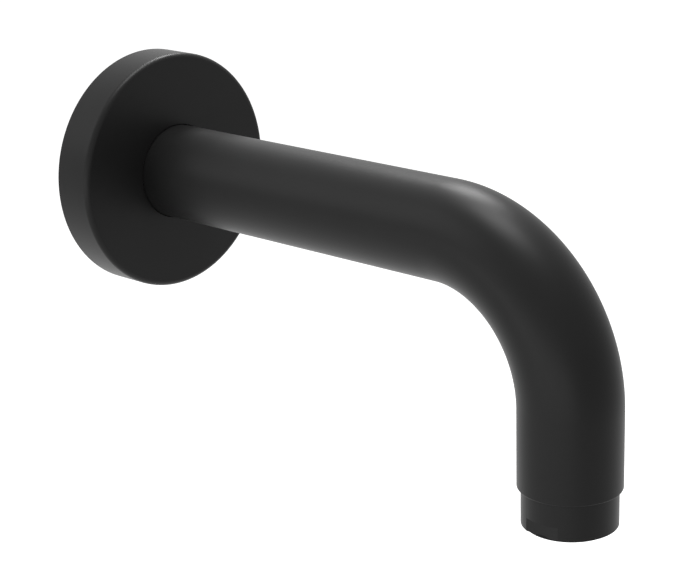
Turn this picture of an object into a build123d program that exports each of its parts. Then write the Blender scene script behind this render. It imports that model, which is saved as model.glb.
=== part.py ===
from build123d import *
import os
from math import sqrt

# Wall-mounted bath spout: a bent brass tube that pushes over a threaded wall nipple and is
# locked by a set screw, a cover flange that slides along the tube to the wall, and an aerator
# that screws into the outlet. Sizes are in millimetres. The wall is the plane Y = 0, the spout
# reaches out along -Y and pours along -Z, and the origin is on the inlet axis at the wall.

# Spout tube
REACH = 150.0  # wall to outlet axis
DROP = 57.7  # inlet axis down to the tube's mouth
TUBE_DIA = 26.0
TUBE_WALL = 2.5
BEND_RADIUS = 38.0  # of the centreline
TUBE_STANDOFF = 0.5  # wall to the tube's rear end
TUBE_LEAD_IN = 0.8  # chamfer that eases the tube over the nipple's seals
MOUTH_EDGE = 0.3  # rounded outer edge of the mouth

# Wall flange
FLANGE_DIA = 66.0
FLANGE_DEPTH = 12.2
FLANGE_FACE = 3.0  # thickness of the front wall
FLANGE_RIM = 2.5  # thickness of the side wall
FLANGE_EDGE = 1.5  # rounded front edge
FLANGE_INNER_FILLET = 1.0
FLANGE_BORE_CLEARANCE = 0.15  # radial, round the tube
FLANGE_BORE_CHAMFER = 0.1
BOSS_LENGTH = 4.4  # bored boss behind the front face, which holds the grip ring
BOSS_WALL = 2.2  # boss material outside the grip ring's groove

# Rubber rings, shown squeezed in their grooves
GRIP_RING_SECTION = 2.0
GRIP_RING_SQUEEZE = 0.2
NIPPLE_RING_SECTION = 2.4
NIPPLE_RING_SQUEEZE = 0.4
GROOVE_SIDE_GAP = 0.2
RING_GAP = 0.02  # left between a squeezed ring and the faces that it seals

# Inlet nipple, with a half-inch pipe thread
PIPE_THREAD_DIA = 20.955
PIPE_THREAD_LENGTH = 17.0
PIPE_THREAD_CHAMFER = 1.2
PIPE_THREAD_START = 1.0  # behind the wall face
PIPE_RELIEF_DIA = 18.4
PIPE_RELIEF_LENGTH = 2.0
NIPPLE_REACH = 32.0  # from the wall into the tube
NIPPLE_CLEARANCE = 0.1  # radial, in the tube's bore
NIPPLE_BORE_DIA = 11.5
NIPPLE_CHAMFER = 1.0
KEY_FLATS = 12.0  # socket for a hexagon key
KEY_DEPTH = 10.0
FRONT_RING_SETBACK = 5.0  # nipple's front end to the middle of its front seal
RING_SPACING = 6.0

# Set screw, through the underside of the tube
SCREW_DIA = 5.0
SCREW_LENGTH = 4.0
SCREW_DISTANCE = 5.0  # from the wall
SCREW_SINK = 0.2  # head below the tube's surface
SCREW_CLEARANCE = 0.05  # radial, in the tapped hole
SCREW_POINT = 0.8  # chamfer of the point
SCREW_KEY_FLATS = 2.5
SCREW_KEY_DEPTH = 2.0
SCREW_GROOVE_GAP = 0.4  # either side of the screw in the nipple's groove

# Aerator housing
AERATOR_THREAD_DIA = 24.0
AERATOR_THREAD_CLEARANCE = 0.05  # radial
AERATOR_THREAD_LENGTH = 7.5  # inside the mouth
AERATOR_THREAD_CHAMFER = 0.3  # lead-in, on the housing and in the mouth
SKIRT_HEIGHT = 10.0  # visible below the mouth, with its nose
SKIRT_GAP = 0.2  # mouth to the start of the full-width skirt
SKIRT_EDGE = 0.12  # rounded lower edges of the skirt and the nose
NOSE_DIA = 22.4  # narrow rim that the spanner flats end on
NOSE_HEIGHT = 0.45
SPANNER_FLATS = 22.0
SPANNER_FLAT_HEIGHT = 3.45
HOUSING_BORE_DIA = 21.4
HOUSING_LIP_DIA = 19.8
HOUSING_LIP_HEIGHT = 2.0

# Aerator cartridge
WASHER_THICKNESS = 2.0
WASHER_BORE_DIA = 17.2
WASHER_CLEARANCE = 0.2  # radial, in the mouth
SLEEVE_CLEARANCE = 0.1  # radial, in the housing
SLEEVE_BORE_DIA = 16.0
SLEEVE_RECESS = 0.6  # sleeve above the housing's lower edge
AIR_GAP = 0.7  # between the sleeve and the housing's lip
AIR_CHANNELS = 12
AIR_CHANNEL_WIDTH = 1.6
AIR_CHANNEL_HEIGHT = 8.7
AIR_WINDOW_HEIGHT = 2.0
PLATE_SEAT_DIA = 18.8  # counterbore in the sleeve's top
PLATE_CLEARANCE = 0.1  # radial, in that counterbore
PLATE_THICKNESS = 2.5
JET_DIA = 1.2
JET_RING_RADII = (5.2, 7.1)
JET_RING_COUNTS = (12, 18)
DOME_BRIM = 2.0
DOME_HEIGHT = 3.5
DOME_WALL = 0.8
DOME_CLEARANCE = 0.4  # radial, in the washer
DOME_HOLE_DIA = 1.1
DOME_HOLE_SPACING = 2.15  # from ring to ring
DOME_HOLE_COUNTS = (6, 12, 18)
GRID_SEAT = 0.4  # step in the sleeve that the outlet grid stops against
GRID_CLEARANCE = 0.05  # radial, in the sleeve
GRID_HEIGHT = 3.0
GRID_PITCH = 2.2  # centre to centre of the cells
GRID_WEB = 0.45  # wall between cells
GRID_CELL_RINGS = 3  # round the middle cell

# Radii and heights that follow from the sizes above
TUBE_R = TUBE_DIA / 2
TUBE_BORE_R = TUBE_R - TUBE_WALL
FLANGE_R = FLANGE_DIA / 2
GRIP_GROOVE_R = TUBE_R + GRIP_RING_SECTION - GRIP_RING_SQUEEZE
FLANGE_BORE_R = TUBE_R + FLANGE_BORE_CLEARANCE
BOSS_R = GRIP_GROOVE_R + BOSS_WALL
BOSS_END = FLANGE_DEPTH - BOSS_LENGTH
NIPPLE_R = TUBE_BORE_R - NIPPLE_CLEARANCE
NIPPLE_GROOVE_R = TUBE_BORE_R - NIPPLE_RING_SECTION + NIPPLE_RING_SQUEEZE
SCREW_HEAD = TUBE_R - SCREW_SINK  # distances from the inlet axis
SCREW_TIP = SCREW_HEAD - SCREW_LENGTH
MOUTH_Z = -DROP
OUTLET_Z = MOUTH_Z - SKIRT_HEIGHT
HOUSING_TOP_Z = MOUTH_Z + AERATOR_THREAD_LENGTH
WASHER_TOP_Z = HOUSING_TOP_Z + WASHER_THICKNESS
LEDGE_Z = OUTLET_Z + HOUSING_LIP_HEIGHT
SOCKET_R = AERATOR_THREAD_DIA / 2
SLEEVE_R = HOUSING_BORE_DIA / 2 - SLEEVE_CLEARANCE
SLEEVE_BORE_R = SLEEVE_BORE_DIA / 2
SLEEVE_NOSE_R = HOUSING_LIP_DIA / 2 - AIR_GAP
SLEEVE_END_Z = OUTLET_Z + SLEEVE_RECESS
PLATE_R = PLATE_SEAT_DIA / 2 - PLATE_CLEARANCE
PLATE_TOP_Z = HOUSING_TOP_Z - DOME_BRIM
GRID_SEAT_R = SLEEVE_BORE_R + GRID_SEAT

TOUCH = 1e-4  # tolerance for picking edges

# Local x is a radius. Local y is a distance: out from the wall on the inlet axis, up on the
# outlet axis, and out from the inlet axis along the screw.
INLET = Plane(origin=(0, 0, 0), x_dir=(1, 0, 0), z_dir=(0, 0, -1))
OUTLET = Plane(origin=(0, -REACH, 0), x_dir=(1, 0, 0), z_dir=(0, -1, 0))
SCREW = Plane(origin=(0, -SCREW_DISTANCE, 0), x_dir=(1, 0, 0), z_dir=(0, 1, 0))


def spin(plane, face):
    """Turns a flat face about the plane's own y axis."""
    return revolve(plane * face, Axis(plane.origin, plane.y_dir))


def turned(plane, *outline):
    """A turned solid with this closed outline of (radius, distance) points."""
    return spin(plane, make_face(Polyline(*outline, close=True)))


def rod(plane, radius, start, end):
    """A plain cylinder on the plane's y axis."""
    return turned(plane, (0, start), (radius, start), (radius, end), (0, end))


def rim(piece, plane, radius, distance):
    """The circular edge of a turned piece at this radius and distance."""
    centre = plane.origin + plane.y_dir * distance
    circles = piece.edges().filter_by(GeomType.CIRCLE)
    return circles.filter_by(
        lambda edge: abs(edge.radius - radius) < TOUCH and (edge.arc_center - centre).length < TOUCH
    )


def squeezed_ring(plane, inner_radius, outer_radius, distance, section):
    """A rubber ring of round section, flattened where its groove squeezes it."""
    inner, outer = inner_radius + RING_GAP, outer_radius - RING_GAP
    flattened = Circle(section / 2) & Rectangle(outer - inner, section)
    return spin(plane, Pos((inner + outer) / 2, distance) * flattened)


def hexagon_rod(plane, flats, start, end):
    """A hexagonal prism on the plane's y axis, for key sockets."""
    across = Plane(origin=plane.origin + plane.y_dir * start, x_dir=plane.x_dir, z_dir=plane.y_dir)
    return extrude(across * RegularPolygon(flats / 2, 6, major_radius=False), end - start)


def drilled(piece, diameter, radii, counts, bottom, top):
    """Drills rings of vertical holes through an outlet piece."""
    hole = rod(OUTLET, diameter / 2, bottom, top)
    for radius, number in zip(radii, counts):
        piece -= [Pos(place.position) * hole for place in PolarLocations(radius, number)]
    return piece


def spout_tube():
    path = FilletPolyline(
        (0, -TUBE_STANDOFF, 0), (0, -REACH, 0), (0, -REACH, MOUTH_Z), radius=BEND_RADIUS
    )
    rear = Plane(origin=(0, -TUBE_STANDOFF, 0), x_dir=(1, 0, 0), z_dir=(0, -1, 0))
    tube = sweep(rear * (Circle(TUBE_R) - Circle(TUBE_BORE_R)), path)
    tube -= rod(OUTLET, SOCKET_R, MOUTH_Z, WASHER_TOP_Z)
    tube -= rod(SCREW, SCREW_DIA / 2 + SCREW_CLEARANCE, 0, TUBE_DIA)
    tube = fillet(rim(tube, OUTLET, TUBE_R, MOUTH_Z), MOUTH_EDGE)
    tube = chamfer(rim(tube, OUTLET, SOCKET_R, MOUTH_Z), AERATOR_THREAD_CHAMFER)
    return chamfer(rim(tube, INLET, TUBE_BORE_R, TUBE_STANDOFF), TUBE_LEAD_IN)


def wall_flange():
    cavity_r = FLANGE_R - FLANGE_RIM
    cavity_end = FLANGE_DEPTH - FLANGE_FACE
    groove_mid = FLANGE_DEPTH - BOSS_LENGTH / 2
    groove_half = GRIP_RING_SECTION / 2 + GROOVE_SIDE_GAP
    flange = turned(
        INLET,
        (cavity_r, 0),
        (FLANGE_R, 0),
        (FLANGE_R, FLANGE_DEPTH),
        (FLANGE_BORE_R, FLANGE_DEPTH),
        (FLANGE_BORE_R, groove_mid + groove_half),
        (GRIP_GROOVE_R, groove_mid + groove_half),
        (GRIP_GROOVE_R, groove_mid - groove_half),
        (FLANGE_BORE_R, groove_mid - groove_half),
        (FLANGE_BORE_R, BOSS_END),
        (BOSS_R, BOSS_END),
        (BOSS_R, cavity_end),
        (cavity_r, cavity_end),
    )
    flange = fillet(rim(flange, INLET, FLANGE_R, FLANGE_DEPTH), FLANGE_EDGE)
    flange = fillet(rim(flange, INLET, cavity_r, cavity_end), FLANGE_INNER_FILLET)
    return chamfer(rim(flange, INLET, FLANGE_BORE_R, FLANGE_DEPTH), FLANGE_BORE_CHAMFER)


def flange_grip_ring():
    return squeezed_ring(
        INLET, TUBE_R, GRIP_GROOVE_R, FLANGE_DEPTH - BOSS_LENGTH / 2, GRIP_RING_SECTION
    )


def ring_distances():
    """Where the nipple's two seals sit, as distances from the wall."""
    front = NIPPLE_REACH - FRONT_RING_SETBACK
    return {"front": front, "rear": front - RING_SPACING}


def inlet_nipple():
    thread_r = PIPE_THREAD_DIA / 2
    relief_end = PIPE_RELIEF_LENGTH - PIPE_THREAD_START
    thread_end = -PIPE_THREAD_START - PIPE_THREAD_LENGTH
    body = rod(INLET, NIPPLE_R, relief_end, NIPPLE_REACH)
    body += rod(INLET, PIPE_RELIEF_DIA / 2, -PIPE_THREAD_START, relief_end)
    body += rod(INLET, thread_r, thread_end, -PIPE_THREAD_START)
    body = chamfer(rim(body, INLET, NIPPLE_R, NIPPLE_REACH), NIPPLE_CHAMFER)
    body = chamfer(rim(body, INLET, thread_r, thread_end), PIPE_THREAD_CHAMFER)

    groove_half = NIPPLE_RING_SECTION / 2 + GROOVE_SIDE_GAP
    for distance in ring_distances().values():
        body -= rod(INLET, TUBE_R, distance - groove_half, distance + groove_half)
        body += rod(INLET, NIPPLE_GROOVE_R, distance - groove_half, distance + groove_half)
    screw_half = SCREW_DIA / 2 + SCREW_GROOVE_GAP
    body -= rod(INLET, TUBE_R, SCREW_DISTANCE - screw_half, SCREW_DISTANCE + screw_half)
    body += rod(INLET, SCREW_TIP, SCREW_DISTANCE - screw_half, SCREW_DISTANCE + screw_half)

    body -= rod(INLET, NIPPLE_BORE_DIA / 2, thread_end, NIPPLE_REACH)
    return body - hexagon_rod(INLET, KEY_FLATS, NIPPLE_REACH - KEY_DEPTH, NIPPLE_REACH)


def nipple_ring(distance):
    return squeezed_ring(INLET, NIPPLE_GROOVE_R, TUBE_BORE_R, distance, NIPPLE_RING_SECTION)


def set_screw():
    screw = rod(SCREW, SCREW_DIA / 2, SCREW_TIP, SCREW_HEAD)
    screw = chamfer(rim(screw, SCREW, SCREW_DIA / 2, SCREW_TIP), SCREW_POINT)
    return screw - hexagon_rod(SCREW, SCREW_KEY_FLATS, SCREW_HEAD - SCREW_KEY_DEPTH, SCREW_HEAD)


def aerator_housing():
    skirt_top = MOUTH_Z - SKIRT_GAP
    skirt_end = OUTLET_Z + NOSE_HEIGHT
    nose_r = NOSE_DIA / 2
    thread_r = SOCKET_R - AERATOR_THREAD_CLEARANCE
    housing = turned(
        OUTLET,
        (HOUSING_LIP_DIA / 2, OUTLET_Z),
        (nose_r, OUTLET_Z),
        (nose_r, skirt_end),
        (SOCKET_R, skirt_end),
        (SOCKET_R, skirt_top),
        (thread_r, skirt_top),
        (thread_r, HOUSING_TOP_Z),
        (HOUSING_BORE_DIA / 2, HOUSING_TOP_Z),
        (HOUSING_BORE_DIA / 2, LEDGE_Z),
        (HOUSING_LIP_DIA / 2, LEDGE_Z),
    )
    housing = fillet(rim(housing, OUTLET, nose_r, OUTLET_Z), SKIRT_EDGE)
    housing = fillet(rim(housing, OUTLET, SOCKET_R, skirt_end), SKIRT_EDGE)
    housing = chamfer(rim(housing, OUTLET, thread_r, HOUSING_TOP_Z), AERATOR_THREAD_CHAMFER)
    flat_middle = skirt_end + SPANNER_FLAT_HEIGHT / 2
    for side in (-1, 1):
        cutter = Box(SOCKET_R, AERATOR_THREAD_DIA, SPANNER_FLAT_HEIGHT)
        housing -= Pos(side * (SPANNER_FLATS + SOCKET_R) / 2, -REACH, flat_middle) * cutter
    return housing


def aerator_washer():
    outer = SOCKET_R - WASHER_CLEARANCE
    inner = WASHER_BORE_DIA / 2
    return turned(
        OUTLET,
        (inner, HOUSING_TOP_Z),
        (outer, HOUSING_TOP_Z),
        (outer, WASHER_TOP_Z),
        (inner, WASHER_TOP_Z),
    )


def aerator_filter_dome():
    brim_bore = WASHER_BORE_DIA / 2 - DOME_CLEARANCE - DOME_WALL
    foot = brim_bore + DOME_WALL
    ball_r = (foot**2 + DOME_HEIGHT**2) / (2 * DOME_HEIGHT)
    ball_z = HOUSING_TOP_Z + DOME_HEIGHT - ball_r
    shell = Pos(0, -REACH, ball_z) * (Sphere(ball_r) - Sphere(ball_r - DOME_WALL))
    shell &= rod(OUTLET, foot, HOUSING_TOP_Z, HOUSING_TOP_Z + DOME_HEIGHT)
    radii = [DOME_HOLE_SPACING * ring for ring in range(1, len(DOME_HOLE_COUNTS) + 1)]
    top = HOUSING_TOP_Z + DOME_HEIGHT
    shell = drilled(shell, DOME_HOLE_DIA, radii, DOME_HOLE_COUNTS, HOUSING_TOP_Z, top)
    brim = turned(
        OUTLET,
        (sqrt((ball_r - DOME_WALL) ** 2 - (HOUSING_TOP_Z - ball_z) ** 2), HOUSING_TOP_Z),
        (PLATE_R, HOUSING_TOP_Z),
        (PLATE_R, PLATE_TOP_Z),
        (brim_bore, PLATE_TOP_Z),
    )
    return shell + brim


def aerator_jet_plate():
    bottom = PLATE_TOP_Z - PLATE_THICKNESS
    plate = rod(OUTLET, PLATE_R, bottom, PLATE_TOP_Z)
    return drilled(plate, JET_DIA, JET_RING_RADII, JET_RING_COUNTS, bottom, PLATE_TOP_Z)


def aerator_sleeve():
    seat_z = PLATE_TOP_Z - PLATE_THICKNESS
    grid_top = SLEEVE_END_Z + GRID_HEIGHT
    sleeve = turned(
        OUTLET,
        (GRID_SEAT_R, SLEEVE_END_Z),
        (SLEEVE_NOSE_R, SLEEVE_END_Z),
        (SLEEVE_NOSE_R, LEDGE_Z),
        (SLEEVE_R, LEDGE_Z),
        (SLEEVE_R, HOUSING_TOP_Z),
        (PLATE_SEAT_DIA / 2, HOUSING_TOP_Z),
        (PLATE_SEAT_DIA / 2, seat_z),
        (SLEEVE_BORE_R, seat_z),
        (SLEEVE_BORE_R, grid_top),
        (GRID_SEAT_R, grid_top),
    )
    channel_top = LEDGE_Z + AIR_CHANNEL_HEIGHT
    channel = Pos((SLEEVE_NOSE_R + SLEEVE_R) / 2, 0, LEDGE_Z + AIR_CHANNEL_HEIGHT / 2) * Box(
        SLEEVE_R - SLEEVE_NOSE_R, AIR_CHANNEL_WIDTH, AIR_CHANNEL_HEIGHT
    )
    window = Pos(SLEEVE_BORE_R, 0, channel_top - AIR_WINDOW_HEIGHT / 2) * Box(
        2 * (SLEEVE_R - SLEEVE_BORE_R), AIR_CHANNEL_WIDTH, AIR_WINDOW_HEIGHT
    )
    turns = PolarLocations(0, AIR_CHANNELS)
    return sleeve - [Pos(0, -REACH, 0) * turn * (channel + window) for turn in turns]


def aerator_outlet_grid():
    top = SLEEVE_END_Z + GRID_HEIGHT
    grid = rod(OUTLET, GRID_SEAT_R - GRID_CLEARANCE, SLEEVE_END_Z, top)
    cell = extrude(RegularPolygon((GRID_PITCH - GRID_WEB) / 2, 6, major_radius=False), GRID_HEIGHT)
    row_step = GRID_PITCH * sqrt(3) / 2
    cells = []
    for row in range(-GRID_CELL_RINGS, GRID_CELL_RINGS + 1):
        count = 2 * GRID_CELL_RINGS + 1 - abs(row)
        for column in range(count):
            across = (column - (count - 1) / 2) * GRID_PITCH
            cells.append(Pos(row * row_step, across - REACH, SLEEVE_END_Z) * cell)
    return grid - cells


pieces = {
    "spout_tube": spout_tube(),
    "wall_flange": wall_flange(),
    "flange_grip_ring": flange_grip_ring(),
    "inlet_nipple": inlet_nipple(),
    "set_screw": set_screw(),
    "aerator_housing": aerator_housing(),
    "aerator_washer": aerator_washer(),
    "aerator_filter_dome": aerator_filter_dome(),
    "aerator_jet_plate": aerator_jet_plate(),
    "aerator_sleeve": aerator_sleeve(),
    "aerator_outlet_grid": aerator_outlet_grid(),
}
for place, distance in ring_distances().items():
    pieces[f"nipple_seal_{place}"] = nipple_ring(distance)

os.makedirs("parts", exist_ok=True)
for name, piece in pieces.items():
    export_step(piece, f"parts/{name}.step")
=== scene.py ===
from math import acos, atan2, cos, hypot, pi, radians, sin, sqrt

import bmesh
import bpy
from mathutils import Matrix, Vector


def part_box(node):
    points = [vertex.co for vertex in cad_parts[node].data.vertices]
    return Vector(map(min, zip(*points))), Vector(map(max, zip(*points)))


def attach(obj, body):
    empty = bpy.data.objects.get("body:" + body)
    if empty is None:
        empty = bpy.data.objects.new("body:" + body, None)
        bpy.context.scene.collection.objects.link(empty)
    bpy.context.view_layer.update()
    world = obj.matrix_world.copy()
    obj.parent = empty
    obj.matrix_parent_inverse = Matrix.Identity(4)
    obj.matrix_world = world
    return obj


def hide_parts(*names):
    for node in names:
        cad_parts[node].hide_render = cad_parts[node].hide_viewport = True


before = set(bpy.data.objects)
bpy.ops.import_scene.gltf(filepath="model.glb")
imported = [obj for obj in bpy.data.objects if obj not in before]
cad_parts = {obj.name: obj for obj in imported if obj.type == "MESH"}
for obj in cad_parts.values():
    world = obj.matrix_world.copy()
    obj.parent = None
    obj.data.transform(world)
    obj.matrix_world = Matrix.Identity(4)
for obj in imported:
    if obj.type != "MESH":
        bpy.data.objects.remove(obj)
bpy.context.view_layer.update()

# Inlet nipple. A brass nipple, turned from bar, with a half-inch pipe thread at the back. It is
# screwed into the fitting in the wall with a key in the hexagon socket at its front end, and the
# spout then pushes over it.
MM = 0.001
BODY = "root"
OUT_FROM_WALL = Matrix.Rotation(pi / 2, 4, "X")  # local z runs out from the wall, and local y up

nipple_low, nipple_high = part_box("inlet_nipple")
PIPE_CREST = nipple_high.x
PIPE_END = -nipple_high.y  # distances run out from the wall, so this is behind it
PIPE_START = -1.0 * MM
PIPE_PITCH = 1.814 * MM
PIPE_DEPTH = 1.162 * MM
PIPE_LEAD_IN = 1.2 * MM
PIPE_RELIEF_RADIUS = 9.2 * MM
PIPE_RELIEF_END = 1.0 * MM
NIPPLE_RADIUS = 10.4 * MM
NIPPLE_BORE = 5.75 * MM
NIPPLE_FRONT = -nipple_low.y
NIPPLE_CHAMFER = 1.0 * MM
BORE_COUNTERSINK = 0.4 * MM
SCREW_DISTANCE = 5.0 * MM
SCREW_GROOVE_HALF = 2.9 * MM
SCREW_GROOVE_RADIUS = 8.8 * MM
SEAL_DISTANCES = (21.0 * MM, 27.0 * MM)
SEAL_GROOVE_HALF = 1.4 * MM
SEAL_GROOVE_RADIUS = 8.5 * MM
KEY_FLATS = 12.0 * MM
KEY_DEPTH = 10.0 * MM
NIPPLE_SEGMENTS = 96
THREAD_STEPS = 24  # rings to each turn of a thread
EDGE_BREAK = 0.15 * MM
SHARP_ANGLE = radians(32)
MERGE_DISTANCE = 1e-4 * MM
RING_TOLERANCE = 0.01 * MM

BRASS_DULL = (0.62, 0.45, 0.2)
BRASS_BRIGHT = (0.8, 0.6, 0.3)
BRASS_ROUGHNESS = 0.3
BRASS_BURNISH = 0.2  # how much smoother the brightest marks are than the dullest
BRASS_MARKS = 0.25 * MM
BRASS_MARK_DEPTH = 0.01 * MM
NOISE_MIDDLE = 0.5


class Skin:
    """A closed skin grown ring by ring along an axis, as on a lathe: each step extrudes its open edge."""

    def __init__(self, axis, radius, distance, segments, corners=()):
        """Starts the open edge. Each corner is an angle at which the edge has to have a point."""
        self.bm = bmesh.new()
        self.axis = axis
        bmesh.ops.create_circle(self.bm, segments=segments, radius=1.0, matrix=axis)
        for corner in corners:
            place = axis @ Vector((cos(corner), sin(corner), 0))
            nearest = min(self.bm.verts, key=lambda vert: (vert.co - place).length)
            nearest.co = place
        self.start = self.edge = list(self.bm.edges)
        self.turn_to(radius, distance)

    def turn_to(self, radius, distance):
        """Puts the open edge at a distance on the axis. The radius may depend on the angle."""
        to_local = self.axis.inverted()
        for vert in {vert for edge in self.edge for vert in edge.verts}:
            local = to_local @ vert.co
            angle = atan2(local.y, local.x)
            reach = radius(angle) if callable(radius) else radius
            vert.co = self.axis @ Vector((reach * cos(angle), reach * sin(angle), distance))

    def grow(self, *rings):
        """Extrudes the open edge from ring to ring, each given as (radius, distance)."""
        for radius, distance in rings:
            grown = bmesh.ops.extrude_edge_only(self.bm, edges=self.edge)["geom"]
            self.edge = [part for part in grown if isinstance(part, bmesh.types.BMEdge) and part.is_boundary]
            self.turn_to(radius, distance)

    def bend(self, pivot, angle, steps):
        """Sweeps the open edge round a pivot, about X, as a tube is bent."""
        swept = bmesh.ops.spin(
            self.bm, geom=self.edge, cent=pivot, axis=(1, 0, 0), angle=angle, steps=steps
        )
        self.edge = [part for part in swept["geom_last"] if isinstance(part, bmesh.types.BMEdge)]
        turn = Matrix.Rotation(angle, 4, "X")
        self.axis = Matrix.Translation(pivot) @ turn @ Matrix.Translation(-pivot) @ self.axis

    def join_ends(self):
        """Closes a hollow piece, whose last ring meets its first."""
        bmesh.ops.bridge_loops(self.bm, edges=self.start + self.edge)
        self.tidy()

    def cap_ends(self):
        """Closes a solid piece, with a flat face over its first ring and over its last."""
        bmesh.ops.contextual_create(self.bm, geom=self.start)
        bmesh.ops.contextual_create(self.bm, geom=self.edge)
        self.tidy()

    def tidy(self):
        """Merges points that fell together, and turns the faces outwards."""
        bmesh.ops.remove_doubles(self.bm, verts=self.bm.verts, dist=MERGE_DISTANCE)
        bmesh.ops.dissolve_degenerate(self.bm, edges=self.bm.edges, dist=MERGE_DISTANCE)
        bmesh.ops.recalc_face_normals(self.bm, faces=self.bm.faces)

    def rings_at(self, *places):
        """The edges that lie on these (radius, distance) rings about the axis."""
        to_local = self.axis.inverted()

        def on_ring(vert):
            local = to_local @ vert.co
            spot = Vector((hypot(local.x, local.y), local.z))
            return any((spot - Vector(place)).length < RING_TOLERANCE for place in places)

        return [edge for edge in self.bm.edges if all(on_ring(vert) for vert in edge.verts)]

    def round_off(self, edges, size, segments):
        """Rounds edges, or only chamfers them where there is one segment."""
        bmesh.ops.bevel(
            self.bm, geom=edges, offset=size, segments=segments, profile=0.5, affect="EDGES",
            material=-1, clamp_overlap=True,
        )


def hexagon(flats):
    """A ring's radius by its angle, where the ring is a hexagon with corners on local x."""
    return lambda angle: flats / 2 / cos((angle % (pi / 3)) - pi / 6)


def thread_rings(crest, depth, pitch, start, end, lead_ins):
    """Rings of a right-handed thread of rounded form, chamfered at 45 degrees over its lead-ins."""
    steps = round(abs(end - start) / pitch * THREAD_STEPS)
    for step in range(steps + 1):
        distance = start + (end - start) * step / steps
        chamfer = min(abs(distance - start) - lead_ins[0], abs(end - distance) - lead_ins[1])
        turn = 2 * pi * distance / pitch

        def form(angle, turn=turn, limit=crest + min(chamfer, 0)):
            return min(crest - depth * (0.5 + 0.5 * cos(turn - angle)), limit)

        yield form, distance


def piece(name, skin, *finishes, sharp=SHARP_ANGLE):
    """A finished object from a skin, with flat faces kept flat beside their rounded edges."""
    mesh = bpy.data.meshes.new(name)
    skin.bm.to_mesh(mesh)
    skin.bm.free()
    mesh.shade_smooth()
    mesh.set_sharp_from_angle(angle=sharp)
    for finish in finishes:
        mesh.materials.append(finish.material)
    made = bpy.data.objects.new(name, mesh)
    bpy.context.scene.collection.objects.link(made)
    weighted = made.modifiers.new("even_faces", "WEIGHTED_NORMAL")
    weighted.keep_sharp = True
    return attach(made, BODY)


class Flow:
    """One value in a shader. Python's operators on it add the Math nodes."""

    def __init__(self, finish, socket):
        self.finish = finish
        self.socket = socket

    def output(self, name):
        """Another output of the node that this value comes from."""
        return Flow(self.finish, self.socket.node.outputs[name])

    def math(self, operation, first, second):
        return self.finish.node("ShaderNodeMath", {"operation": operation}, {0: first, 1: second})

    def __add__(self, other):
        return self.math("ADD", self, other)

    def __sub__(self, other):
        return self.math("SUBTRACT", self, other)

    def __rsub__(self, other):
        return self.math("SUBTRACT", other, self)

    def __mul__(self, other):
        return self.math("MULTIPLY", self, other)

    def __pow__(self, other):
        return self.math("POWER", self, other)

    __radd__ = __add__
    __rmul__ = __mul__


class Finish:
    """A material or world under construction, with one way to add any node."""

    def __init__(self, owner, **settings):
        self.material = owner
        owner.use_nodes = True
        self.tree = owner.node_tree
        self.shader = self.tree.nodes.get("Principled BSDF")
        self.fill(self.shader, settings)

    def fill(self, node, sockets):
        """Gives a node's sockets their values or links, by name or number."""
        for key, value in sockets.items():
            socket = node.inputs[key.replace("_", " ") if isinstance(key, str) else key]
            if isinstance(value, Flow):
                self.tree.links.new(value.socket, socket)
            else:
                socket.default_value = value

    def node(self, kind, settings, sockets, output=0):
        """Adds a node of any type, and returns one of its outputs."""
        node = self.tree.nodes.new(kind)
        for setting, value in settings.items():
            setattr(node, setting, value)
        self.fill(node, sockets)
        return Flow(self, node.outputs[output])

    def place(self):
        """Where a point of the piece is, in metres."""
        return self.node("ShaderNodeTexCoord", {}, {}, "Object")

    def noise(self, size, detail=2.0, vector=None):
        """Noise whose features are about this large, in metres, around 0.5."""
        sockets = {"Vector": vector or self.place(), "Scale": 1 / size, "Detail": detail}
        return self.node("ShaderNodeTexNoise", {}, sockets)

    def mix(self, share, first, second):
        """A colour between two. A Mix node has its colours on sockets 6 and 7 and on output 2."""
        sockets = {0: share, 6: (*first, 1), 7: (*second, 1)}
        return self.node("ShaderNodeMix", {"data_type": "RGBA"}, sockets, 2)

    def bump(self, height, depth):
        return self.node("ShaderNodeBump", {}, {"Height": height, "Distance": depth})

    def turned_marks(self, centre, along, spacing):
        """Fine rings from a turning tool, about an axis through the centre."""
        local = self.node("ShaderNodeVectorMath", {"operation": "SUBTRACT"}, {0: self.place(), 1: centre})
        split = self.node("ShaderNodeSeparateXYZ", {}, {0: local})
        across = [split.output(axis) for axis in "XYZ" if axis != along]
        radius = (across[0] ** 2 + across[1] ** 2) ** 0.5
        marks = self.node("ShaderNodeCombineXYZ", {}, {0: radius, 1: split.output(along)})
        return self.noise(spacing, detail=3.0, vector=marks)


turned_brass = Finish(bpy.data.materials.new("turned_brass"), Metallic=1.0)
brass_marks = turned_brass.turned_marks((0, 0, 0), "Y", BRASS_MARKS)
turned_brass.fill(turned_brass.shader, {
    "Base Color": turned_brass.mix(brass_marks, BRASS_DULL, BRASS_BRIGHT),
    "Roughness": BRASS_ROUGHNESS - (brass_marks - NOISE_MIDDLE) * BRASS_BURNISH,
    "Normal": turned_brass.bump(brass_marks, BRASS_MARK_DEPTH),
})

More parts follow.
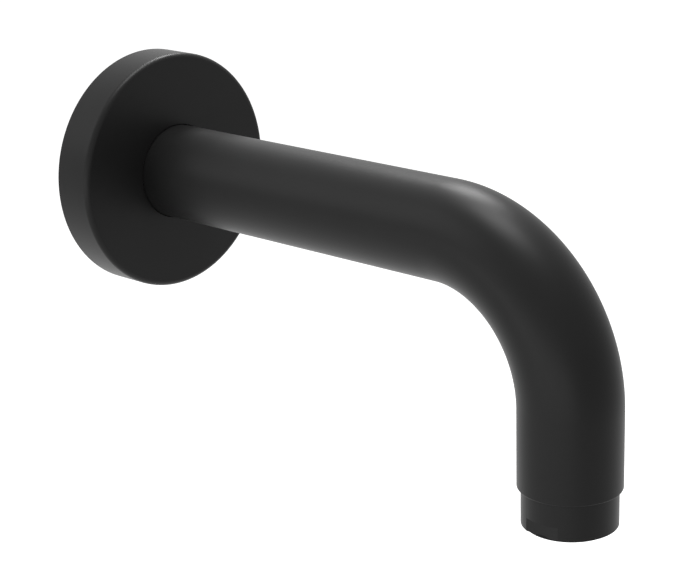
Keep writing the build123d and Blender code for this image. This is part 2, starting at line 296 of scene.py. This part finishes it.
nipple_skin = Skin(OUT_FROM_WALL, NIPPLE_BORE, PIPE_END + BORE_COUNTERSINK, NIPPLE_SEGMENTS)
nipple_skin.grow((NIPPLE_BORE + BORE_COUNTERSINK, PIPE_END))
nipple_skin.grow(
    *thread_rings(PIPE_CREST, PIPE_DEPTH, PIPE_PITCH, PIPE_END, PIPE_START, (PIPE_LEAD_IN, 0))
)
nipple_skin.grow(
    (PIPE_RELIEF_RADIUS, PIPE_START),
    (PIPE_RELIEF_RADIUS, PIPE_RELIEF_END),
    (NIPPLE_RADIUS - EDGE_BREAK, PIPE_RELIEF_END),
    (NIPPLE_RADIUS, PIPE_RELIEF_END + EDGE_BREAK),
)
grooves = [(SCREW_DISTANCE, SCREW_GROOVE_HALF, SCREW_GROOVE_RADIUS)]
grooves += [(distance, SEAL_GROOVE_HALF, SEAL_GROOVE_RADIUS) for distance in SEAL_DISTANCES]
for middle, half, radius in grooves:
    nipple_skin.grow(
        (NIPPLE_RADIUS, middle - half - EDGE_BREAK),
        (NIPPLE_RADIUS - EDGE_BREAK, middle - half),
        (radius, middle - half),
        (radius, middle + half),
        (NIPPLE_RADIUS - EDGE_BREAK, middle + half),
        (NIPPLE_RADIUS, middle + half + EDGE_BREAK),
    )
nipple_skin.grow(
    (NIPPLE_RADIUS, NIPPLE_FRONT - NIPPLE_CHAMFER),
    (NIPPLE_RADIUS - NIPPLE_CHAMFER, NIPPLE_FRONT),
    (hexagon(KEY_FLATS), NIPPLE_FRONT),
    (hexagon(KEY_FLATS), NIPPLE_FRONT - KEY_DEPTH),
    (NIPPLE_BORE, NIPPLE_FRONT - KEY_DEPTH),
)
nipple_skin.join_ends()
nipple = piece("threaded_nipple", nipple_skin, turned_brass)
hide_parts("inlet_nipple")

# Rubber rings. Moulded black rubber: two seals in the nipple's grooves, the grip ring in the
# flange's bore and the flat washer over the aerator. They are squeezed between their pieces and
# keep the shape that the frame gives them.
RUBBER_DARK = (0.012, 0.012, 0.012)
RUBBER_PALE = (0.026, 0.026, 0.026)
RUBBER_CLOUD = 3.0 * MM
RUBBER_GRAIN = 0.15 * MM
RUBBER_GRAIN_DEPTH = 0.01 * MM
RUBBER_ROUGHNESS = 0.65
RUBBER_ROUGHNESS_SPREAD = 0.2

seal_rubber = Finish(bpy.data.materials.new("seal_rubber"))
rubber_cloud = seal_rubber.noise(RUBBER_CLOUD)
rubber_grain = seal_rubber.noise(RUBBER_GRAIN)
seal_rubber.fill(seal_rubber.shader, {
    "Base Color": seal_rubber.mix(rubber_cloud, RUBBER_DARK, RUBBER_PALE),
    "Roughness": RUBBER_ROUGHNESS + (rubber_grain - NOISE_MIDDLE) * RUBBER_ROUGHNESS_SPREAD,
    "Normal": seal_rubber.bump(rubber_grain, RUBBER_GRAIN_DEPTH),
})


def refinish(node, finish):
    """Gives a piece of the frame its finish."""
    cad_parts[node].data.materials.clear()
    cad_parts[node].data.materials.append(finish.material)


for node in ("nipple_seal_front", "nipple_seal_rear", "flange_grip_ring", "aerator_washer"):
    refinish(node, seal_rubber)

# Spout tube. A thick brass tube, bent down over a mandrel to the mouth, with a tapped hole for
# its set screw near the wall and a counterbore for the aerator. Outside it has a matt black
# coating; the bore is bare brass.
tube_low, tube_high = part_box("spout_tube")
TUBE_RADIUS = tube_high.x
TUBE_BORE = 10.5 * MM
TUBE_REAR = -tube_high.y
TUBE_LEAD_IN = 0.8 * MM
BEND_RADIUS = 38.0 * MM
BEND_STEPS = 64
TUBE_SEGMENTS = 144
REACH = -tube_low.y - TUBE_RADIUS
RUN_END = REACH - BEND_RADIUS
MOUTH = RUN_END - tube_low.z - BEND_RADIUS  # distances count on as if the bend took no length
MOUTH_EDGE = 0.3 * MM
MOUTH_CHAMFER = 0.3 * MM
SOCKET_RADIUS = 12.0 * MM
SOCKET_DEPTH = 9.5 * MM
TAPPED_RADIUS = 2.55 * MM
TAPPED_ZONE = 9.5 * MM  # the stretch under the flange that the tapped hole is in
TAPPED_HALF = 3.4 * MM  # half the width of the patch that the hole is cut in
TAPPED_SEGMENTS = 48
WALL_TOLERANCE = 0.05 * MM
OUTSIDE_FINISH = 0  # the places of the tube's two finishes in its list
BORE_FINISH = 1

COAT_DARK = (0.008, 0.008, 0.008)
COAT_PALE = (0.01, 0.01, 0.01)
COAT_SPECULAR = 0.13
COAT_ROUGHNESS = 0.42
COAT_CLOUD = 12.0 * MM
COAT_CLOUD_SPREAD = 0.03
COAT_GRAIN = 0.18 * MM
COAT_GRAIN_SPREAD = 0.05
COAT_GRAIN_DEPTH = 0.002 * MM

matt_black = Finish(bpy.data.materials.new("matt_black_coat"), Specular_IOR_Level=COAT_SPECULAR)
coat_cloud = matt_black.noise(COAT_CLOUD)
coat_grain = matt_black.noise(COAT_GRAIN)
grain_mottle = (coat_grain - NOISE_MIDDLE) * COAT_GRAIN_SPREAD
cloud_mottle = (coat_cloud - NOISE_MIDDLE) * COAT_CLOUD_SPREAD
matt_black.fill(matt_black.shader, {
    "Base Color": matt_black.mix(coat_cloud, COAT_DARK, COAT_PALE),
    "Roughness": COAT_ROUGHNESS + grain_mottle + cloud_mottle,
    "Normal": matt_black.bump(coat_grain, COAT_GRAIN_DEPTH),
})

tube_skin = Skin(OUT_FROM_WALL, TUBE_RADIUS - EDGE_BREAK, TUBE_REAR, TUBE_SEGMENTS)
tube_skin.grow((TUBE_RADIUS, TUBE_REAR + EDGE_BREAK), (TUBE_RADIUS, TAPPED_ZONE), (TUBE_RADIUS, RUN_END))
bend_pivot = Vector((0, -RUN_END, -BEND_RADIUS))
tube_skin.bend(bend_pivot, pi / 2, BEND_STEPS)
tube_skin.grow((TUBE_RADIUS, MOUTH), (SOCKET_RADIUS + MOUTH_CHAMFER, MOUTH))
coated = set(tube_skin.bm.faces)
rounded_mouth = tube_skin.rings_at((TUBE_RADIUS, MOUTH))
tube_skin.grow(
    (SOCKET_RADIUS, MOUTH - MOUTH_CHAMFER),
    (SOCKET_RADIUS, MOUTH - SOCKET_DEPTH),
    (TUBE_BORE, MOUTH - SOCKET_DEPTH),
    (TUBE_BORE, RUN_END),
)
tube_skin.bend(bend_pivot, -pi / 2, BEND_STEPS)
tube_skin.grow(
    (TUBE_BORE, TAPPED_ZONE),
    (TUBE_BORE, TUBE_REAR + TUBE_LEAD_IN),
    (TUBE_BORE + TUBE_LEAD_IN, TUBE_REAR),
)
for face in tube_skin.bm.faces:
    face.material_index = OUTSIDE_FINISH if face in coated else BORE_FINISH
tube_skin.round_off(rounded_mouth, MOUTH_EDGE, segments=5)
tube_skin.join_ends()


def tapped_edge(radius):
    """Cuts the set screw's hole in the underside of one wall of the tube, and returns its edge."""
    bm = tube_skin.bm
    patch = []
    for face in bm.faces:
        middle = face.calc_center_median()
        under = middle.z < 0 and abs(middle.x) < TAPPED_HALF and -TAPPED_ZONE < middle.y < -TUBE_REAR
        if under and abs(hypot(middle.x, middle.z) - radius) < WALL_TOLERANCE:
            patch.append(face)
    finish_index = patch[0].material_index
    patch_edges = {edge for face in patch for edge in face.edges}
    bmesh.ops.delete(bm, geom=patch, context="FACES")
    centre = Matrix.Translation((0, -SCREW_DISTANCE, 0))
    ring = bmesh.ops.create_circle(bm, segments=TAPPED_SEGMENTS, radius=TAPPED_RADIUS, matrix=centre)
    for vert in ring["verts"]:
        vert.co.z = -sqrt(radius**2 - vert.co.x**2)
    hole = {edge for vert in ring["verts"] for edge in vert.link_edges}
    patch_rim = [edge for edge in patch_edges if edge.is_valid]
    filled = bmesh.ops.triangle_fill(
        bm, edges=patch_rim + list(hole), normal=(0, 0, -1), use_beauty=True, use_dissolve=False
    )
    for part in filled["geom"]:
        if isinstance(part, bmesh.types.BMFace):
            part.material_index = finish_index
    return list(hole)


tapped_wall = bmesh.ops.bridge_loops(tube_skin.bm, edges=tapped_edge(TUBE_RADIUS) + tapped_edge(TUBE_BORE))
for face in tapped_wall["faces"]:
    face.material_index = BORE_FINISH
tube_skin.tidy()
tube = piece("coated_tube", tube_skin, matt_black, turned_brass)
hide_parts("spout_tube")

# Set screw. A short stainless screw with a hexagon socket, threaded up through the underside of
# the tube until its point stands in the nipple's groove. The flange hides it.
screw_low, screw_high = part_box("set_screw")
SCREW_TIP = -screw_high.z  # distances run down from the inlet axis
SCREW_HEAD = -screw_low.z
SCREW_CREST = screw_high.x
SCREW_DEPTH = 0.45 * MM
SCREW_PITCH = 0.8 * MM
SCREW_POINT = 0.8 * MM
SCREW_HEAD_CHAMFER = 0.35 * MM
SCREW_KEY_FLATS = 2.5 * MM
SCREW_KEY_DEPTH = 2.0 * MM
SCREW_PILOT_RADIUS = 1.0 * MM  # of the drilled hole that the socket was pressed into
SCREW_SEGMENTS = 48
DOWN_THE_SCREW = Matrix.Translation((0, -SCREW_DISTANCE, 0)) @ Matrix.Rotation(pi, 4, "X")
STEEL_DULL = (0.52, 0.52, 0.53)
STEEL_BRIGHT = (0.67, 0.67, 0.67)
STEEL_ROUGHNESS = 0.32
STEEL_BURNISH = 0.2
STEEL_MARKS = 0.2 * MM
STEEL_MARK_DEPTH = 0.008 * MM

screw_steel = Finish(bpy.data.materials.new("screw_steel"), Metallic=1.0)
steel_marks = screw_steel.turned_marks((0, -SCREW_DISTANCE, 0), "Z", STEEL_MARKS)
screw_steel.fill(screw_steel.shader, {
    "Base Color": screw_steel.mix(steel_marks, STEEL_DULL, STEEL_BRIGHT),
    "Roughness": STEEL_ROUGHNESS - (steel_marks - NOISE_MIDDLE) * STEEL_BURNISH,
    "Normal": screw_steel.bump(steel_marks, STEEL_MARK_DEPTH),
})

screw_skin = Skin(DOWN_THE_SCREW, SCREW_CREST - SCREW_POINT, SCREW_TIP, SCREW_SEGMENTS)
screw_skin.grow(*thread_rings(
    SCREW_CREST, SCREW_DEPTH, SCREW_PITCH, SCREW_TIP, SCREW_HEAD, (SCREW_POINT, SCREW_HEAD_CHAMFER)
))
screw_skin.grow(
    (hexagon(SCREW_KEY_FLATS), SCREW_HEAD),
    (hexagon(SCREW_KEY_FLATS), SCREW_HEAD - SCREW_KEY_DEPTH),
    (SCREW_PILOT_RADIUS, SCREW_HEAD - SCREW_KEY_DEPTH),
)
screw_skin.cap_ends()
screw = piece("socket_screw", screw_skin, screw_steel)
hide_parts("set_screw")

# Wall flange. A shallow brass cup, turned and coated matt black all over, with a rounded front
# edge. It slides back along the tube to the wall, and the grip ring in its bore holds it there.
flange_low, flange_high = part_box("wall_flange")
FLANGE_RADIUS = flange_high.x
FLANGE_FRONT = -flange_low.y
FLANGE_EDGE = 1.5 * MM
FLANGE_BORE = 13.15 * MM
FLANGE_BORE_CHAMFER = 0.1 * MM
FLANGE_FACE_WALL = 3.0 * MM
CUP_RADIUS = 30.5 * MM
CUP_FLOOR = FLANGE_FRONT - FLANGE_FACE_WALL
CUP_FILLET = 1.0 * MM
BOSS_RADIUS = 17.0 * MM
BOSS_LENGTH = 4.4 * MM
BOSS_END = FLANGE_FRONT - BOSS_LENGTH
GRIP_GROOVE_RADIUS = 14.8 * MM
GRIP_GROOVE_HALF = 1.2 * MM
GRIP_GROOVE_MIDDLE = (FLANGE_FRONT + BOSS_END) / 2
FLANGE_SEGMENTS = 192

flange_skin = Skin(OUT_FROM_WALL, CUP_RADIUS, 0, FLANGE_SEGMENTS)
flange_skin.grow(
    (FLANGE_RADIUS, 0),
    (FLANGE_RADIUS, FLANGE_FRONT),
    (FLANGE_BORE, FLANGE_FRONT),
    (FLANGE_BORE, GRIP_GROOVE_MIDDLE + GRIP_GROOVE_HALF),
    (GRIP_GROOVE_RADIUS, GRIP_GROOVE_MIDDLE + GRIP_GROOVE_HALF),
    (GRIP_GROOVE_RADIUS, GRIP_GROOVE_MIDDLE - GRIP_GROOVE_HALF),
    (FLANGE_BORE, GRIP_GROOVE_MIDDLE - GRIP_GROOVE_HALF),
    (FLANGE_BORE, BOSS_END),
    (BOSS_RADIUS, BOSS_END),
    (BOSS_RADIUS, CUP_FLOOR),
    (CUP_RADIUS, CUP_FLOOR),
)
flange_skin.join_ends()
flange_skin.round_off(flange_skin.rings_at((FLANGE_RADIUS, FLANGE_FRONT)), FLANGE_EDGE, segments=8)
flange_skin.round_off(flange_skin.rings_at((CUP_RADIUS, CUP_FLOOR)), CUP_FILLET, segments=6)
flange_skin.round_off(flange_skin.rings_at((FLANGE_BORE, FLANGE_FRONT)), FLANGE_BORE_CHAMFER, segments=1)
rear_rings = flange_skin.rings_at((FLANGE_RADIUS, 0), (CUP_RADIUS, 0), (BOSS_RADIUS, BOSS_END))
flange_skin.round_off(rear_rings, EDGE_BREAK, segments=2)
flange = piece("coated_flange", flange_skin, matt_black)
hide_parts("wall_flange")

# Aerator cartridge. Moulded plastic pieces that stack inside the aerator: the honeycomb outlet
# grid, pressed up into the sleeve with its air channels, and above it the jet plate and the
# domed strainer. They keep the shape that the frame gives them.
PLASTIC_CLOUD = 4.0 * MM
PLASTIC_GRAIN = 0.12 * MM
PLASTIC_GRAIN_DEPTH = 0.004 * MM
PLASTIC_ROUGHNESS_SPREAD = 0.1


def moulded_plastic(name, dark, pale, roughness):
    """Injection-moulded plastic with a fine spark-eroded surface."""
    finish = Finish(bpy.data.materials.new(name))
    grain = finish.noise(PLASTIC_GRAIN)
    finish.fill(finish.shader, {
        "Base Color": finish.mix(finish.noise(PLASTIC_CLOUD), dark, pale),
        "Roughness": roughness + (grain - NOISE_MIDDLE) * PLASTIC_ROUGHNESS_SPREAD,
        "Normal": finish.bump(grain, PLASTIC_GRAIN_DEPTH),
    })
    return finish


dark_plastic = moulded_plastic(
    "dark_plastic", dark=(0.045, 0.045, 0.048), pale=(0.06, 0.06, 0.064), roughness=0.42
)
pale_plastic = moulded_plastic(
    "pale_plastic", dark=(0.54, 0.55, 0.54), pale=(0.62, 0.63, 0.62), roughness=0.38
)
for node in ("aerator_outlet_grid", "aerator_sleeve"):
    refinish(node, dark_plastic)
for node in ("aerator_jet_plate", "aerator_filter_dome"):
    refinish(node, pale_plastic)

# Aerator housing. A turned brass ring, coated to match, with a fine thread that screws up into
# the tube's mouth against the washer. Two milled flats for a spanner run down to the narrow nose
# at its lower edge.
housing_low, housing_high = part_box("aerator_housing")
HOUSING_RADIUS = housing_high.x
HOUSING_TOP = housing_high.z
HOUSING_END = housing_low.z
HOUSING_BORE = 10.7 * MM
HOUSING_EDGE = 0.12 * MM
HOUSING_SEGMENTS = 144
HOUSING_SHARP_ANGLE = radians(20)  # less than a flat's angle to the ring
MOUTH_GAP = 0.2 * MM
NOSE_HEIGHT = 0.45 * MM
NOSE_RADIUS = 11.2 * MM
SKIRT_TOP = tube_low.z - MOUTH_GAP
SKIRT_END = HOUSING_END + NOSE_HEIGHT
SPANNER_FLATS = 22.0 * MM
FLATS_HEIGHT = 3.45 * MM
FLATS_TOP = SKIRT_END + FLATS_HEIGHT
FLATS_CORNER = acos(SPANNER_FLATS / 2 / HOUSING_RADIUS)  # half the angle that a flat takes of the ring
FLATS_CORNER_BREAK = 0.2 * MM
FLATS_CORNER_LIMITS = (radians(20), radians(30))  # the bend of the skin along a flat's upright edges
AERATOR_CREST = 11.95 * MM
AERATOR_DEPTH = 0.61 * MM
AERATOR_PITCH = 1.0 * MM
AERATOR_LEAD_IN = 0.5 * MM
LIP_RADIUS = 9.9 * MM
LIP_HEIGHT = 2.0 * MM
LEDGE = HOUSING_END + LIP_HEIGHT
UP_THE_OUTLET = Matrix.Translation((0, -REACH, 0))


def spanner_flats(angle):
    """The ring's radius by its angle, where the two sides are milled flat."""
    across = abs(cos(angle))
    if across * HOUSING_RADIUS <= SPANNER_FLATS / 2:
        return HOUSING_RADIUS
    return SPANNER_FLATS / 2 / across


flat_corners = [side + turn for side in (0, pi) for turn in (-FLATS_CORNER, FLATS_CORNER)]
housing_skin = Skin(UP_THE_OUTLET, LIP_RADIUS, HOUSING_END, HOUSING_SEGMENTS, flat_corners)
housing_skin.grow(
    (NOSE_RADIUS, HOUSING_END),
    (NOSE_RADIUS, SKIRT_END),
    (spanner_flats, SKIRT_END),
    (spanner_flats, FLATS_TOP),
    (HOUSING_RADIUS, FLATS_TOP),
    (HOUSING_RADIUS, SKIRT_TOP),
)
housing_skin.grow(*thread_rings(
    AERATOR_CREST, AERATOR_DEPTH, AERATOR_PITCH, SKIRT_TOP, HOUSING_TOP,
    (AERATOR_LEAD_IN, AERATOR_LEAD_IN),
))
housing_skin.grow((HOUSING_BORE, HOUSING_TOP), (HOUSING_BORE, LEDGE), (LIP_RADIUS, LEDGE))
housing_skin.join_ends()
lower_edges = housing_skin.rings_at((HOUSING_RADIUS, SKIRT_END), (NOSE_RADIUS, HOUSING_END))
housing_skin.round_off(lower_edges, HOUSING_EDGE, segments=5)
housing_skin.round_off(housing_skin.rings_at((LIP_RADIUS, HOUSING_END)), EDGE_BREAK, segments=2)
corner_edges = [
    edge for edge in housing_skin.bm.edges
    if abs(edge.verts[0].co.z - edge.verts[1].co.z) > FLATS_HEIGHT / 2
    and FLATS_CORNER_LIMITS[0] < edge.calc_face_angle() < FLATS_CORNER_LIMITS[1]
]
housing_skin.round_off(corner_edges, FLATS_CORNER_BREAK, segments=3)
housing_skin.tidy()
housing = piece("aerator_ring", housing_skin, matt_black, sharp=HOUSING_SHARP_ANGLE)
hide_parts("aerator_housing")

# Studio. A plain pale floor well below the spout, an even white surround and four soft boxes. The
# floor is seen only from above, so that the underside can be looked at.
FLOOR_HEIGHT = -0.4
FLOOR_HALF = 3.0
SURROUND_LIGHT = 0.3
FLOOR_COLOUR = (0.6, 0.6, 0.6, 1)
FLOOR_GLOW = 0.9
SPOUT_MIDDLE = Vector((0, -REACH / 2, -20 * MM))

world = bpy.data.worlds.new("white_surround")
bpy.context.scene.world = world
surround = Finish(world)


def seen_directly(finish):
    """1 for a ray that shows the background itself, straight, mirrored or through a clear piece."""
    path = finish.node("ShaderNodeLightPath", {}, {})
    seen = path.output("Is Camera Ray") + path.output("Is Glossy Ray")
    through = path.output("Is Transmission Ray")
    return finish.node("ShaderNodeMath", {"operation": "MAXIMUM"}, {0: seen, 1: through})


surround.fill(world.node_tree.nodes["Background"], {
    "Color": (1, 1, 1, 1),
    "Strength": SURROUND_LIGHT + seen_directly(surround) * (1 - SURROUND_LIGHT),
})

floor_mesh = bpy.data.meshes.new("floor")
floor_bm = bmesh.new()
bmesh.ops.create_grid(floor_bm, x_segments=1, y_segments=1, size=FLOOR_HALF)
bmesh.ops.translate(floor_bm, verts=floor_bm.verts, vec=(0, 0, FLOOR_HEIGHT))
floor_bm.to_mesh(floor_mesh)
floor_bm.free()
floor = bpy.data.objects.new("floor", floor_mesh)
bpy.context.scene.collection.objects.link(floor)
floor_finish = Finish(bpy.data.materials.new("pale_floor"))
floor_finish.fill(floor_finish.shader, {
    "Base Color": FLOOR_COLOUR,
    "Roughness": 1.0,
    "Specular IOR Level": 0.0,
})
solid = Flow(floor_finish, floor_finish.shader.outputs[0])
glow = floor_finish.node("ShaderNodeEmission", {}, {"Strength": FLOOR_GLOW})
white = floor_finish.node("ShaderNodeAddShader", {}, {0: solid, 1: glow})
shown = floor_finish.node("ShaderNodeMixShader", {}, {0: seen_directly(floor_finish), 1: solid, 2: white})
below = floor_finish.node("ShaderNodeNewGeometry", {}, {}, "Backfacing")
clear = floor_finish.node("ShaderNodeBsdfTransparent", {}, {})
one_sided = floor_finish.node("ShaderNodeMixShader", {}, {0: below, 1: shown, 2: clear})
floor_finish.fill(floor_finish.tree.nodes["Material Output"], {"Surface": one_sided})
floor_mesh.materials.append(floor_finish.material)


def soft_box(name, place, width, height, power):
    """A rectangular soft light, aimed at the spout's middle."""
    lamp = bpy.data.lights.new(name, "AREA")
    lamp.shape = "RECTANGLE"
    lamp.size = width
    lamp.size_y = height
    lamp.energy = power
    light = bpy.data.objects.new(name, lamp)
    light.location = place
    light.rotation_euler = (SPOUT_MIDDLE - Vector(place)).to_track_quat("-Z", "Y").to_euler()
    bpy.context.scene.collection.objects.link(light)


soft_box("top_box", place=(0.05, -0.11, 0.89), width=0.4, height=0.4, power=8.0)
soft_box("back_box", place=(0.46, 0.26, 0.68), width=0.28, height=0.28, power=6.5)
soft_box("left_box", place=(-0.62, 0.36, 0.47), width=0.6, height=0.6, power=2.2)
soft_box("low_strip", place=(-0.88, -0.2, -0.12), width=1.6, height=0.3, power=4.1)

# Camera. A long lens at some distance, in front of the spout, to its left and a little above, as
# the photograph was taken. The small roll is the photograph's own tilt.
CAMERA_PLACE = Vector((-346.9, -412.8, 130.2)) * MM
CAMERA_AZIMUTH = radians(-45.97)
CAMERA_ELEVATION = radians(17.36)
CAMERA_ROLL = radians(-1.69)
CAMERA_LENS = 99.59
CAMERA_SENSOR = 36.0

camera_data = bpy.data.cameras.new("camera")
camera_data.lens = CAMERA_LENS
camera_data.sensor_width = CAMERA_SENSOR
camera = bpy.data.objects.new("camera", camera_data)
bpy.context.scene.collection.objects.link(camera)
camera.matrix_world = (
    Matrix.Translation(CAMERA_PLACE)
    @ Matrix.Rotation(CAMERA_AZIMUTH, 4, "Z")
    @ Matrix.Rotation(pi / 2 - CAMERA_ELEVATION, 4, "X")
    @ Matrix.Rotation(CAMERA_ROLL, 4, "Z")
)
bpy.context.scene.camera = camera
bpy.context.scene.view_settings.view_transform = "Standard"
